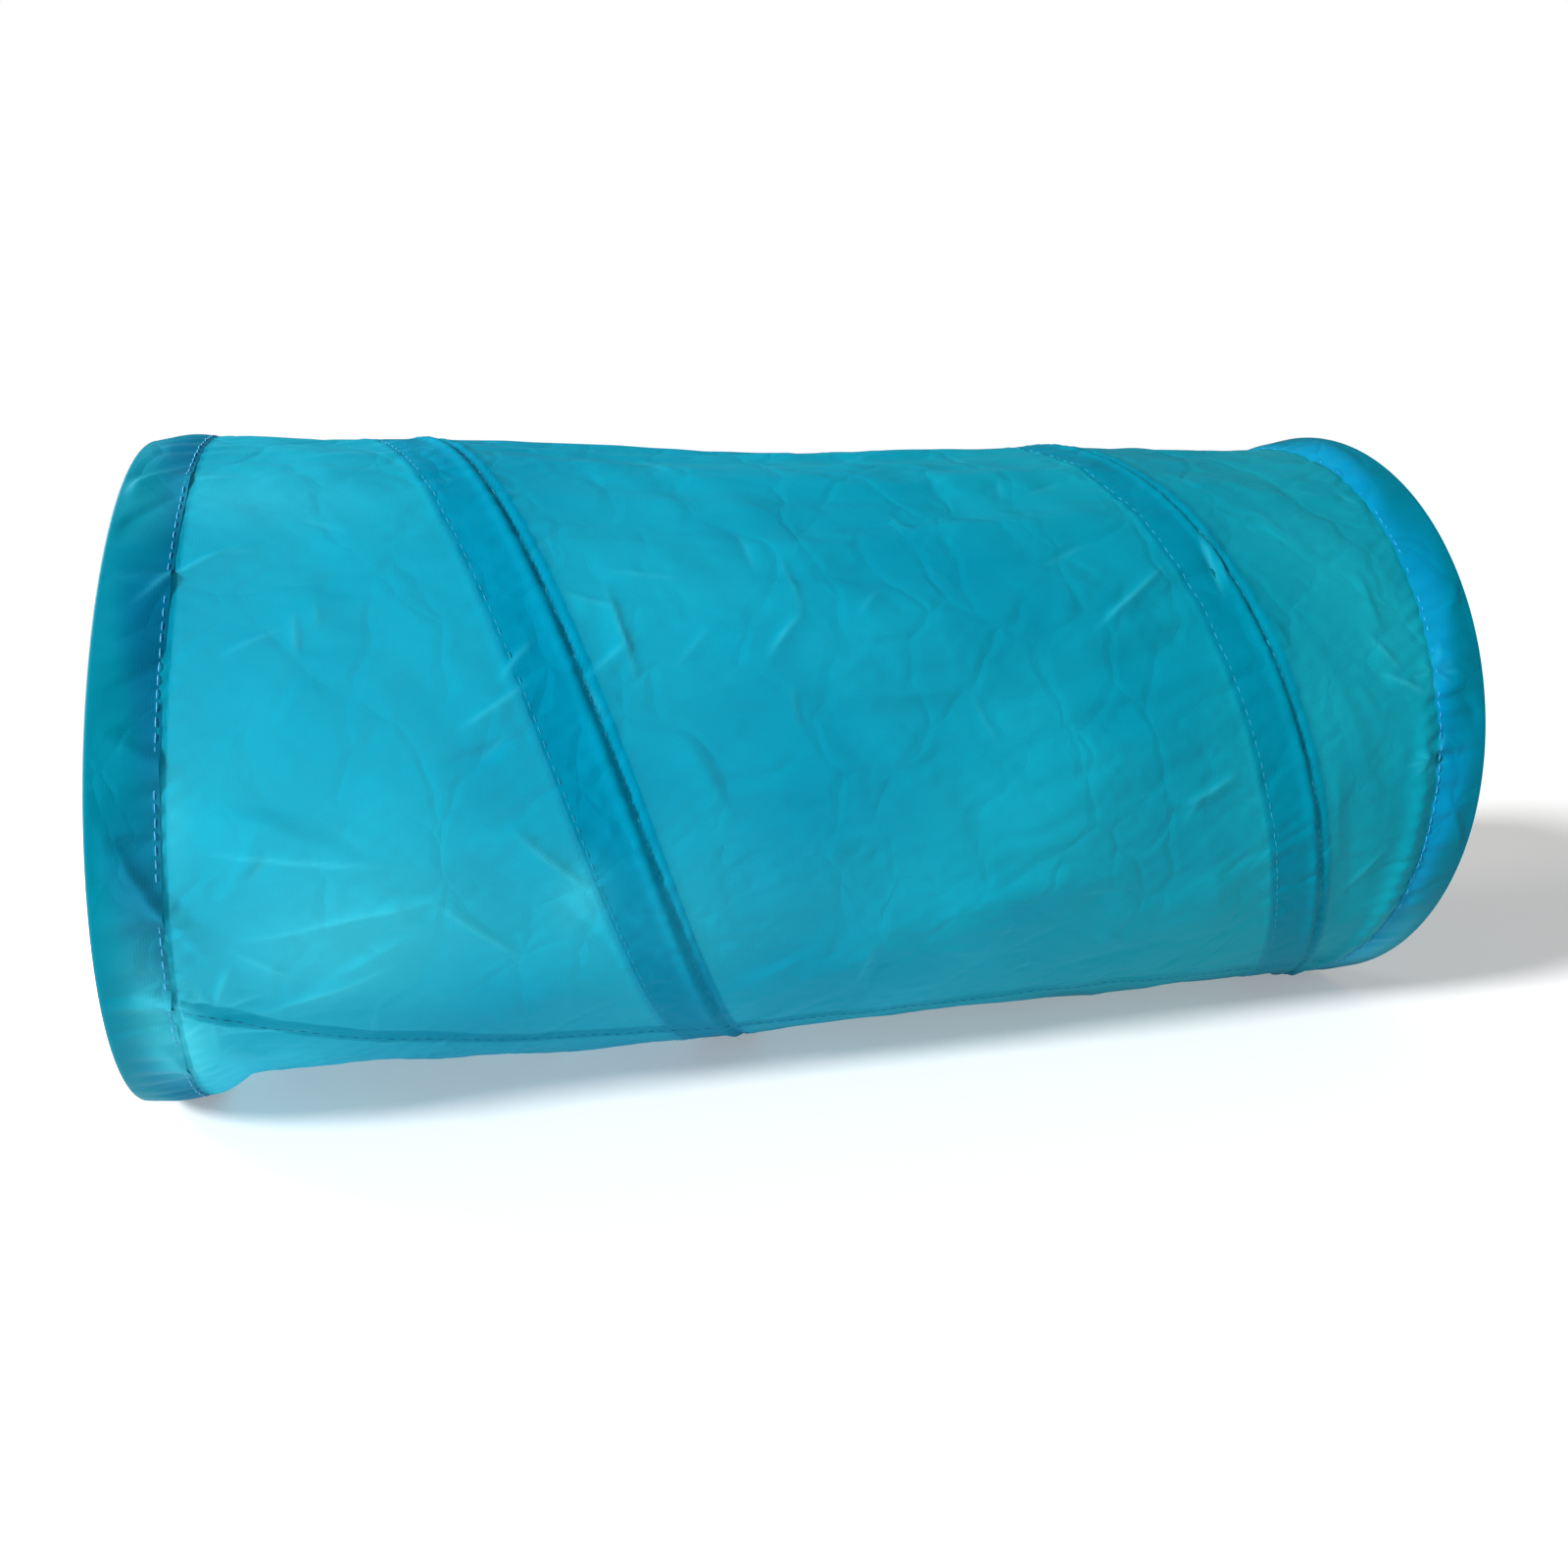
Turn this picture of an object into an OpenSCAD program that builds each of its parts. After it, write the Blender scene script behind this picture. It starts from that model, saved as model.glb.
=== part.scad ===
// Pop-up agility tunnel for small pets: a polyester sleeve on a helical spring wire,
// with a wire hoop sewn into a hem at each end.
// Frame: X runs along the tunnel from the front hoop to the rear hoop, Z is up, the floor is z = 0.
// Angles around the tunnel start at the top and grow towards the near side (-Y), then the floor.

/* [Tunnel] */
// Distance between the two hoop centres
tunnel_l = 516; // [400:1:600]
// Outer radius of the sleeve
sleeve_r = 126; // [110:0.5:140]
// Wall of the sleeve
sleeve_wall = 0.6; // [0.4:0.1:1]
// Height of the sleeve's underside over the floor
sleeve_lift = 1.1; // [1.1:0.1:2]

/* [Hoops] */
// Diameter of the spring wire in the hoops and in the coil
wire_d = 2.2; // [1.6:0.1:2.4]
// Radius of the front hoop at the middle of its wire
front_hoop_r = 124.8; // [122:0.1:127]
// Radius of the rear hoop at the middle of its wire
rear_hoop_r = 128.4; // [124:0.1:130]
// Forward lean of the front hoop's top, in degrees
front_lean = 3.6; // [0:0.1:5]
// Turn of the front hoop about the vertical, in degrees
front_turn = -3.7; // [-5:0.1:0]
// Lean of the rear hoop's top, in degrees
rear_lean = -2.7; // [-5:0.1:0]
// Turn of the rear hoop about the vertical, in degrees
rear_turn = -2.1; // [-5:0.1:0]
// Angle around the hoop where the wire's two ends meet
joint_angle = 215; // [190:1:260]

/* [Hems] */
// Width of each hem, from the hoop to its stitch line
hem_w = 21; // [18:1:26]
// Radius of the folded bead of cloth around the hoop wire
bead_r = 2.4; // [2.3:0.1:3]
// Thickness of the hem at its stitch line
hem_edge = 1.2; // [0.8:0.1:1.6]
// Depth that the bead is pressed flat against the floor
foot_depth = 1; // [0.8:0.1:1.1]

/* [Coil] */
// Advance of the coil in one turn
coil_pitch = 269.5; // [240:0.5:290]
// Distance from the front hoop to the coil's first pass over the top
coil_start = 102; // [95:1:110]
// Shift of the coil's near side towards the front
coil_sway = 12; // [0:1:14]
// Angle at which the coil wire begins
coil_from = -108; // [-108:4:-96]
// Angle at which the coil wire ends
coil_to = 528; // [516:4:528]
// Width of the channel tape on the front side of the wire
tape_front = 20; // [12:1:22]
// Width of the channel tape on the rear side of the wire
tape_rear = 7; // [5:1:12]
// Thickness of the channel tape
tape_t = 0.4; // [0.3:0.1:0.6]

/* [Seam and thread] */
// Angle around the sleeve of its lengthwise seam
seam_angle = 145; // [130:1:170]
// Width of the seam allowance inside the sleeve
allowance_w = 10; // [8:1:14]
// Thickness of the seam allowance
allowance_t = 0.3; // [0.2:0.05:0.35]
// Diameter of the sewing thread
thread_d = 0.5; // [0.3:0.1:0.6]

/* [Ferrules and tips] */
// Outer radius of the crimped ferrule on each hoop
ferrule_r = 1.8; // [1.6:0.1:1.8]
// Length of the ferrule, as an angle around the hoop
ferrule_arc = 7; // [5:1:9]
// Outer radius of the shrunk cap on each coil end
tip_r = 1.45; // [1.4:0.05:1.45]
// Length of the shrunk cap
tip_l = 8; // [6:1:9]

/* [Hidden] */

wire_r = wire_d / 2;
thread_r = thread_d / 2;
gap = 0.1;                      // clearance between layers that lie against each other
pocket_r = wire_r + gap;        // the tunnel in the bead that holds the hoop wire
sleeve_in = sleeve_r - sleeve_wall;
tape_r = sleeve_in - allowance_t - 2 * gap;
coil_r = tape_r - wire_r - gap; // radius of the coil at the middle of its wire
stitch_r = sleeve_r + thread_r + gap;
turn_step = 4;                  // degrees between two rings of a swept coil
hull_fn = 96;
fine_fn = 180;
reach = 400;                    // larger than the tunnel, for cutting blocks

// A hoop's axis as a unit vector, pointing from the front to the rear.
function hoop_axis(lean, turn) = [cos(lean) * cos(turn), cos(lean) * sin(turn), -sin(lean)];
front_axis = hoop_axis(front_lean, front_turn);
rear_axis = hoop_axis(rear_lean, rear_turn);

// Half the extent of a leaning hoop along one axis of the frame.
function extent(r, along) = r * sqrt(1 - along * along) + bead_r;

// The whole tunnel is centred on the origin, from its frontmost to its rearmost bead.
front_x = (extent(front_hoop_r, front_axis.x) - extent(rear_hoop_r, rear_axis.x) - tunnel_l) / 2;
rear_x = front_x + tunnel_l;
front_z = extent(front_hoop_r, front_axis.z) - foot_depth;
rear_z = extent(rear_hoop_r, rear_axis.z) - foot_depth;
axis_z = sleeve_r + sleeve_lift;

// A point at an angle around the sleeve's axis.
function around(x, a, r) = [x, -r * sin(a), axis_z + r * cos(a)];

// How far a hoop's plane stands ahead of its centre at an angle around the tunnel.
function plane_shift(axis, a) = sleeve_r * (axis.y * sin(a) - axis.z * cos(a)) / axis.x;
function front_seam_x(a) = front_x + hem_w + plane_shift(front_axis, a);
function rear_seam_x(a) = rear_x - hem_w + plane_shift(rear_axis, a);

// The line of the coil wire, and the two edges of the tape that holds it.
function coil_x(a) = front_x + coil_start + coil_pitch * a / 360 - coil_sway * sin(a);
function tape_from(a) = max(coil_x(a) - tape_front, front_seam_x(a) + 1);
function tape_to(a) = min(coil_x(a) + tape_rear, rear_seam_x(a) - 1);
tape_inset = turn_step; // degrees of bare wire at each end, for the shrunk caps

// Every swept strand has its rings at the same angles, so that layers don't cut into each other.
function angles(from, to) = [for (a = [from : turn_step : to]) a];

// Puts a shape that turns about Z onto a hoop's axis, with its middle at a point.
module on_axis(x, z, lean, turn) {
    translate([x, 0, z]) rotate([0, 90 + lean, turn]) children();
}

module at_front_hoop() { on_axis(front_x, front_z, front_lean, front_turn) children(); }
module at_rear_hoop() { on_axis(rear_x, rear_z, rear_lean, rear_turn) children(); }
module at_front_seam() { on_axis(front_x + hem_w, axis_z, front_lean, front_turn) children(); }
module at_rear_seam() { on_axis(rear_x - hem_w, axis_z, rear_lean, rear_turn) children(); }

module ring(r, tube_r, fn = fine_fn, tube_fn = 32) {
    rotate_extrude($fn = fn) translate([r, 0]) circle(r = tube_r, $fn = tube_fn);
}

// A closed solid through a list of rings with the same even number of points. Each end is closed by
// a ladder of quads, between a ring's first half and its second.
module skin(rings) {
    n = len(rings[0]);
    m = len(rings);
    sides = [
        for (i = [0 : m - 2], j = [0 : n - 1])
        [i * n + j, i * n + (j + 1) % n, (i + 1) * n + (j + 1) % n, (i + 1) * n + j]
    ];
    near_cap = [for (j = [0 : n / 2 - 2]) [n - 1 - j, n - 2 - j, j + 1, j]];
    far_cap = [for (j = [0 : n / 2 - 2]) let (f = (m - 1) * n) [f + j, f + j + 1, f + n - 2 - j, f + n - 1 - j]];
    polyhedron([for (ring = rings) each ring], concat(near_cap, sides, far_cap), 10);
}

// A round strand wound along the coil, at a distance from the wire's line.
module strand(from, to, r, strand_r, sides, line) {
    skin([
        for (a = angles(from, to))
        [for (k = [0 : sides - 1])
            let (b = 360 * k / sides)
            around(line[0] * coil_x(a) + line[1] * tape_from(a) + line[2] * tape_to(a)
                + line[3] + strand_r * cos(b), a, r + strand_r * sin(b))]
    ]);
}

// The wire's direction leans against the ring by the coil's rise.
function coil_rise(a) = atan(coil_pitch / (2 * PI * coil_r) - coil_sway * cos(a) / coil_r);

// ---- Wires ----

module hoop(r) {
    color("silver") ring(r, wire_r);
}

module front_hoop() { at_front_hoop() hoop(front_hoop_r); }
module rear_hoop() { at_rear_hoop() hoop(rear_hoop_r); }

// In a hoop's own frame the top of the tunnel lies at -X and the near side at -Y.
module on_hoop_arc(r, arc) {
    rotate([0, 0, 180 + joint_angle - arc / 2]) rotate_extrude(angle = arc, $fn = fine_fn)
        translate([r, 0]) children();
}

module ferrule(r) {
    color("gainsboro") on_hoop_arc(r, ferrule_arc) difference() {
        circle(r = ferrule_r, $fn = 32);
        circle(r = pocket_r, $fn = 32);
    }
}

module front_hoop_ferrule() { at_front_hoop() ferrule(front_hoop_r); }
module rear_hoop_ferrule() { at_rear_hoop() ferrule(rear_hoop_r); }

module coil_wire() {
    color("silver") strand(coil_from, coil_to, coil_r, wire_r, 8, [1, 0, 0, 0]);
}

// A blind cap that lies along the wire's last straight stretch and opens towards its middle.
// way is 1 at the wire's beginning and -1 at its end.
module tip(a, way) {
    mid = a + way * turn_step / 2;
    past_end = 2;
    slack = 0.7; // the wire's end face is square to the tunnel, not to the wire
    color("dimgray") translate(around(coil_x(a), a, coil_r)) rotate([mid, 0, 0])
        rotate([0, 0, coil_rise(mid)]) rotate([way * 90, 0, 0]) difference() {
            translate([0, 0, -past_end]) cylinder(r = tip_r, h = tip_l, $fn = 32);
            translate([0, 0, -slack]) cylinder(r = pocket_r, h = tip_l, $fn = 32);
        }
}

module coil_front_tip() { tip(coil_from, 1); }
module coil_rear_tip() { tip(coil_to, -1); }

// ---- Cloth ----

module sleeve() {
    color("darkturquoise") difference() {
        translate([front_x, 0, axis_z]) rotate([0, 90, 0]) difference() {
            cylinder(r = sleeve_r, h = tunnel_l, $fn = fine_fn);
            translate([0, 0, -1]) cylinder(r = sleeve_in, h = tunnel_l + 2, $fn = fine_fn);
        }
        at_front_seam() translate([-reach / 2, -reach / 2, -reach]) cube(reach);
        at_rear_seam() translate([-reach / 2, -reach / 2, 0]) cube(reach);
    }
}

// The folded cloth at one end: a bead around the hoop that thins down to the stitch line.
// way is 1 at the front end and -1 at the rear, where the hem runs back from its hoop.
module hem_shape(way, r, x, z, lean, turn) {
    seam_x = x + way * hem_w;
    difference() {
        hull() {
            on_axis(x, z, lean, turn) ring(r, bead_r, hull_fn, 16);
            on_axis(seam_x, axis_z, lean, turn)
                translate([0, 0, way > 0 ? -0.5 : 0]) cylinder(r = sleeve_r, h = 0.5, $fn = hull_fn);
        }
        hull() {
            on_axis(x, z, lean, turn)
                translate([0, 0, way > 0 ? -bead_r - 1 : -1])
                    cylinder(r = r - bead_r, h = bead_r + 2, $fn = hull_fn);
            on_axis(seam_x, axis_z, lean, turn)
                translate([0, 0, -1]) cylinder(r = sleeve_r - hem_edge, h = 2, $fn = hull_fn);
        }
        on_axis(x, z, lean, turn) {
            ring(r, pocket_r);
            on_hoop_arc(r, ferrule_arc + 1) circle(r = ferrule_r + gap, $fn = 32);
        }
        translate([-reach, -reach / 2, -reach]) cube([2 * reach, reach, reach]);
    }
}

module front_hem() {
    color("darkcyan") hem_shape(1, front_hoop_r, front_x, front_z, front_lean, front_turn);
}

module rear_hem() {
    color("darkcyan") hem_shape(-1, rear_hoop_r, rear_x, rear_z, rear_lean, rear_turn);
}

// A tape with a raised fold in which the coil wire lies. The fold opens towards the sleeve.
function tape_ring(a) =
    let (
        c = coil_x(a), low = tape_r - tape_t, deep = coil_r - wire_r - gap,
        wide = wire_r + 0.6, tight = wire_r + 0.2
    )
    [
        around(tape_from(a), a, tape_r), around(c - wide, a, tape_r), around(c - tight, a, deep),
        around(c + tight, a, deep), around(c + wide, a, tape_r), around(tape_to(a), a, tape_r),
        around(tape_to(a), a, low), around(c + wide + tape_t, a, low),
        around(c + tight + tape_t, a, deep - tape_t), around(c - tight - tape_t, a, deep - tape_t),
        around(c - wide - tape_t, a, low), around(tape_from(a), a, low)
    ];

module coil_channel() {
    color("teal") skin([
        for (a = angles(coil_from + tape_inset, coil_to - tape_inset)) tape_ring(a)
    ]);
}

module seam_allowance() {
    half = allowance_w / 2;
    lo = sleeve_in - gap - allowance_t;
    hi = sleeve_in - gap;
    from = front_seam_x(seam_angle) + 2;
    to = rear_seam_x(seam_angle) - 2;
    color("teal") translate([from, 0, axis_z]) rotate([seam_angle, 0, 0]) rotate([0, 90, 0])
        linear_extrude(to - from) intersection() {
            difference() {
                circle(r = hi, $fn = fine_fn);
                circle(r = lo, $fn = fine_fn);
            }
            translate([-sleeve_r, -half]) square([sleeve_r, allowance_w]);
        }
}

// ---- Thread ----

module front_hem_thread() {
    color("lightskyblue") at_front_seam() translate([0, 0, 1]) ring(stitch_r / front_axis.x, thread_r);
}

module rear_hem_thread() {
    color("lightskyblue") at_rear_seam() translate([0, 0, -1]) ring(stitch_r / rear_axis.x, thread_r);
}

module channel_thread_front() {
    color("lightskyblue")
        strand(coil_from + tape_inset, coil_to - tape_inset, stitch_r, thread_r, 6, [0, 1, 0, 2]);
}

module channel_thread_rear() {
    color("lightskyblue")
        strand(coil_from + tape_inset, coil_to - tape_inset, stitch_r, thread_r, 6, [0, 0, 1, -2]);
}

module seam_thread() {
    a = seam_angle + 3;
    from = front_seam_x(a) + 4;
    color("lightskyblue") translate(around(from, a, stitch_r + thread_d + gap)) rotate([0, 90, 0])
        cylinder(r = thread_r, h = rear_seam_x(a) - 4 - from, $fn = 16);
}

front_hoop();
front_hoop_ferrule();
rear_hoop();
rear_hoop_ferrule();
coil_wire();
coil_front_tip();
coil_rear_tip();
coil_channel();
sleeve();
seam_allowance();
front_hem();
rear_hem();
front_hem_thread();
rear_hem_thread();
channel_thread_front();
channel_thread_rear();
seam_thread();
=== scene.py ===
"""A pop-up tunnel for small pets, sewn from thin polyester over spring wire.

The cloth is laid out on two coordinates: x along the tunnel, and an angle around it in degrees that starts
at the top and grows towards the near side (-Y). Lengths are in metres.
"""
import math

import bpy
import numpy as np
from mathutils import Euler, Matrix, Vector


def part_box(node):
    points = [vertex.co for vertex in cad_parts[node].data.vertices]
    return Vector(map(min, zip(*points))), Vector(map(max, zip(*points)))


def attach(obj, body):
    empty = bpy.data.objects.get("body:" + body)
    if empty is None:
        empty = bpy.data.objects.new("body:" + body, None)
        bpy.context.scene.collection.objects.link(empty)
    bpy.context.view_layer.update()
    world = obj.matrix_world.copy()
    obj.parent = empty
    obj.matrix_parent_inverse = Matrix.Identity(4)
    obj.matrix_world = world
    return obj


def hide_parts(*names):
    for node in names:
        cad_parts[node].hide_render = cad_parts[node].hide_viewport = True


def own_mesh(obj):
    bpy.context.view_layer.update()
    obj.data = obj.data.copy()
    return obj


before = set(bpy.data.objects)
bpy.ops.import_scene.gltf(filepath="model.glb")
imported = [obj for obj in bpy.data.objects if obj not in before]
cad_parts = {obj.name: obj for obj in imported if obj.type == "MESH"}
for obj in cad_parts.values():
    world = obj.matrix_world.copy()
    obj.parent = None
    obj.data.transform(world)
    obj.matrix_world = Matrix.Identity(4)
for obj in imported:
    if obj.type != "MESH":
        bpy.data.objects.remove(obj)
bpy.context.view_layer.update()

# ---- Sizes, as in the CAD ----
MM = 0.001
HEM_W = 21 * MM
WIRE_R = 1.1 * MM
FRONT_LEAN = (3.6, -3.7)  # degrees: lean of the hoop's top, turn about the vertical
REAR_LEAN = (-2.7, -2.1)
COIL_PITCH = 269.5 * MM
COIL_START = 102 * MM
COIL_SWAY = 12 * MM
COIL_FROM = -108
COIL_TO = 528
TAPE_FRONT = 20 * MM
TAPE_REAR = 7 * MM
SEAM_ANGLE = 145
ALLOWANCE_W = 10 * MM
FERRULE_ANGLE = 215
FERRULE_ARC = 7
FERRULE_R = 1.8 * MM

# ---- Cloth ----
PLY = 0.2 * MM
CLOTH_OVER_WIRE = 0.5 * MM  # the wire holds the sleeve this far outside its CAD radius
TAPE_DEPTH = 0.45 * MM
TAPE_FOOT = 2.6 * MM  # from the wire's line to where the tape lies flat again
ROWS = 420  # points along the sleeve
TURNS = 720  # points around it
SIM_ROWS = 120  # points of the coarser sleeve that is simulated
SIM_TURNS = 200
SIM_FRAMES = 24
BEAD_R = WIRE_R + 0.35 * MM  # the hem's cloth around the hoop wire
FERRULE_BULGE = 0.7 * MM
HEM_PROUD = 0.12 * MM  # how far a hem's outer ply stands over the sleeve at its stitches
REAR_TUCK = 0.6 * MM  # how far the rear hem lies under the sleeve on the lower near side
INNER_PLY_PAST = 1.2 * MM  # how far a hem's inner ply runs past the stitches, under the sleeve
INNER_PLY_DEPTH = 0.45 * MM
THREAD_R = 0.2 * MM
STITCH = 4.5 * MM

rng = np.random.default_rng(11)


def unit(v):
    v = np.asarray(v, float)
    return v / np.linalg.norm(v, axis=-1, keepdims=True)


def smooth(t):
    t = np.clip(t, 0, 1)
    return t * t * (3 - 2 * t)


def bell(t):
    return np.exp(-t * t)


def wrap(degrees):
    """Degrees folded to -180..180."""
    return (np.asarray(degrees, float) + 180) % 360 - 180


class Hoop:
    """A wire hoop: its middle, its axis as a unit vector towards the rear, and its radius."""

    def __init__(self, node, lean, turn):
        low, high = (np.array(corner[:]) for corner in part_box(node))
        lean = math.radians(lean)
        turn = math.radians(turn)
        self.middle = (low + high) / 2
        level = math.cos(lean)
        self.axis = np.array([level * math.cos(turn), level * math.sin(turn), -math.sin(lean)])
        self.up = unit(np.array([0, 0, 1]) - self.axis * self.axis[2])
        self.near = np.cross(self.axis, self.up)
        self.radius = ((high - low)[1] / 2 - WIRE_R) / math.sqrt(1 - self.axis[1] ** 2)

    def point(self, a, r=None):
        a = np.radians(a)[..., None]
        return self.middle + (r or self.radius) * (self.up * np.cos(a) + self.near * np.sin(a))

    def shift(self, a, r):
        """How far the hoop's plane stands ahead of its middle, at an angle around the sleeve."""
        a = np.radians(a)
        return r * (self.axis[1] * np.sin(a) - self.axis[2] * np.cos(a)) / self.axis[0]


FRONT = Hoop("front_hoop", *FRONT_LEAN)
REAR = Hoop("rear_hoop", *REAR_LEAN)
SLEEVE_LOW, SLEEVE_HIGH = (np.array(corner[:]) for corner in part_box("sleeve"))
SLEEVE_R = (SLEEVE_HIGH - SLEEVE_LOW)[1] / 2
AXIS_Z = (SLEEVE_HIGH + SLEEVE_LOW)[2] / 2
FRONT_X = FRONT.middle[0]
REAR_X = REAR.middle[0]
CLOTH_R = SLEEVE_R + CLOTH_OVER_WIRE
FLOOR_GAP = 0.3 * MM
TUCK = 1.5 * MM
CUT_LONGER = 1.015
CUT_WIDER = 1.012
CUT_SKEW = 3 * MM  # askew in each 100 mm of the sleeve's length
MOST_MOVE = 7 * MM
HELD_BY_COIL = 3 * MM  # cloth this close to the coil doesn't move in the simulation


def front_seam(a):
    return FRONT_X + HEM_W + FRONT.shift(a, SLEEVE_R)


def rear_seam(a):
    return REAR_X - HEM_W + REAR.shift(a, SLEEVE_R)


def coil_x(a):
    return FRONT_X + COIL_START + COIL_PITCH * a / 360 - COIL_SWAY * np.sin(np.radians(a))


def coil_slope(a):
    """Cosine of the coil's rise against the ring."""
    rise = (COIL_PITCH / (2 * math.pi) - COIL_SWAY * np.cos(np.radians(a))) / CLOTH_R
    return 1 / np.sqrt(1 + rise * rise)


def around(x, a, r):
    a = np.radians(a)
    return np.stack([x + 0 * a, -r * np.sin(a) + 0 * x, AXIS_Z + r * np.cos(a) + 0 * x], -1)


def past_coil(x, a):
    """Distance behind the nearest pass of the coil wire, square to it; far away where there is none."""
    best = np.full(np.broadcast(x, a).shape, 1.0)
    for turn in (-360, 0, 360):
        at = wrap(a) + turn
        d = (x - coil_x(at)) * coil_slope(at)
        d = d + 1.0 * ((at < COIL_FROM) | (at > COIL_TO))
        best = np.where(np.abs(d) < np.abs(best), d, best)
    return best


# ---- Folds in the cloth ----
# Each crease: mm behind the front hoop, degrees around, heading (0 along the tunnel, 90 around it),
# length, width and height in mm. A negative height is a fold that goes in.
CREASES = [
    (24, 50, -35, 44, 1.6, 1.2), (55, 61, 90, 18, 1.0, 0.7), (62, 58, 84, 10, 1.0, 0.4),
    (8, 30, -30, 40, 2.4, 1.0), (10, 38, -40, 40, 2.2, -0.8),
    (8, 98, 62, 60, 2.6, 1.4), (12, 104, 60, 40, 2.2, -0.9),
    (10, 78, 35, 36, 2.4, 0.9), (12, 66, -24, 34, 2.2, -0.7), (10, 116, 20, 26, 1.8, 0.8),
    (8, 132, 70, 34, 2.0, 0.9), (32, 134, 52, 34, 2.0, 1.0), (36, 128, 12, 44, 1.8, -0.8),
    (30, 30, -12, 26, 1.8, 0.6), (34, 38, -8, 34, 2.0, 0.6), (36, 47, -14, 22, 1.6, 0.5),
    (506, 60, -50, 30, 2.0, 0.8), (506, 82, 50, 30, 2.0, -0.8), (506, 104, 60, 40, 2.2, 0.9),
    (42, 62, -25, 24, 1.6, 0.5), (116, 73, -32, 30, 1.8, 0.8), (108, 80, -20, 26, 2.0, -0.6),
    (124, 66, -48, 22, 1.5, 0.6), (134, 98, 42, 46, 1.9, 1.3), (146, 110, 50, 44, 2.2, -1.0),
    (160, 62, 78, 42, 1.8, 1.0), (152, 57, 20, 26, 1.4, 0.6), (156, 66, -38, 26, 1.4, 0.6),
    (148, 72, 64, 24, 1.6, -0.6), (170, 52, 8, 34, 1.8, 0.5), (218, 63, -48, 26, 1.6, 0.8),
    (186, 85, 60, 38, 2.6, 0.8), (250, 80, 12, 70, 6.0, 0.7), (300, 70, -8, 80, 8.0, -0.7),
    (358, 58, -36, 48, 1.6, 1.1), (398, 51, 88, 38, 1.6, -0.9), (401, 50, 88, 34, 1.4, 0.6),
    (386, 93, -26, 30, 1.8, 0.7), (420, 66, 70, 30, 2.4, 0.5), (468, 70, 50, 24, 1.6, 0.7),
    (476, 76, 25, 26, 1.4, 0.9), (466, 60, 82, 36, 2.0, 0.6), (448, 100, 76, 60, 4.0, 0.6),
    (52, 90, 26, 64, 3.0, 1.1), (118, 93, -6, 60, 3.0, 0.9), (72, 112, -30, 44, 2.4, 0.8),
    (60, 108, 14, 60, 3.0, 0.6), (40, 112, 35, 30, 1.6, 0.6), (90, 95, 22, 70, 5.0, 0.6),
    (58, 118, -22, 60, 1.8, 0.8), (66, 104, -10, 80, 1.8, 0.7),
    (52, 94, 8, 64, 1.7, 0.8), (106, 108, 44, 50, 1.9, 0.9),
    (44, 88, 4, 50, 3.4, 1.0), (84, 100, 16, 70, 4.0, -1.0),
    (75, 20, -14, 90, 6.0, 0.9), (230, 20, 10, 110, 7.0, -0.6), (330, 28, 16, 60, 4.0, 0.5),
    (300, 110, -12, 90, 7.0, 0.7), (210, 125, -30, 60, 4.0, 0.7), (360, 130, -18, 80, 5.0, -0.8),
]
# Puckers in the stitch lines: mm behind the front hoop, degrees, reach of the pleats and their height in mm
PUCKERS = [(20, 121, 22, 0.7), (490, 74, 11, 0.45), (488, 90, 12, 0.45)]
# Painted highlights, lighter places in the cloth: mm behind the front hoop, degrees, reach along and around
# in mm, share
HIGHLIGHT_PATCHES = [
    (62, 108, 40, 30, 0.65), (40, 35, 34, 14, 0.4), (142, 104, 9, 12, 0.6),
    (8, 128, 10, 26, 1.3), (16, 88, 5, 18, 0.3), (4, 114, 7, 30, 0.7), (180, 110, 60, 25, 0.2),
    (508, 142, 12, 44, 0.7),
]
BROAD_FOLDS = [
    (66, 96, 22, 120, 9, 1.5), (92, 112, 32, 100, 8, -1.2), (78, 76, 14, 110, 10, 1.1),
    (60, 30, -16, 100, 9, 1.0), (125, 122, 40, 70, 7, 0.9), (300, 112, -12, 150, 12, 1.3),
    (255, 76, 8, 170, 13, -1.1), (225, 128, -28, 110, 9, 1.1), (345, 98, 16, 120, 10, 1.0),
    (398, 112, 62, 90, 9, 0.9), (330, 40, -10, 150, 12, 1.0), (446, 78, 66, 90, 7, 0.9),
    (462, 112, 72, 80, 7, -0.9), (430, 30, 40, 70, 8, 0.8), (250, 200, 10, 160, 12, 1.2),
    (380, 230, -14, 150, 12, 1.2), (120, 220, 20, 120, 10, 1.2), (320, 290, 12, 160, 13, 1.2),
    (180, 320, -18, 120, 11, 1.0), (70, 280, 16, 90, 9, 1.0), (440, 300, 50, 90, 9, 1.0),
]
SMALL_CREASES = 190
CREASE_GAIN = 1.6


def small_creases():
    """Light crinkles all over, most of them slanting between the wires."""
    made = []
    for _ in range(SMALL_CREASES):
        made.append((
            rng.uniform(25, 490), rng.uniform(0, 360), rng.choice([-40, -20, 15, 60, 85]) + rng.normal(0, 14),
            rng.uniform(10, 34), rng.uniform(1.2, 2.6), rng.uniform(0.15, 0.5) * rng.choice([-1, 1]),
        ))
    return made


def pleats():
    """Short pleats that fan out from each pucker in a hem's stitch line."""
    made = []
    for at_x, at_a, reach, rise in PUCKERS:
        for number in range(9):
            heading = 40 * number + 13 + rng.normal(0, 8)
            length = reach * rng.uniform(0.6, 1.2)
            way = math.radians(heading)
            middle = at_a + math.degrees(0.55 * length * math.sin(way) * MM / CLOTH_R)
            side = 1 if number % 2 else -0.8
            made.append((at_x + 0.55 * length * math.cos(way), middle, heading, length, 1.5, side * rise))
    return made


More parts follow.
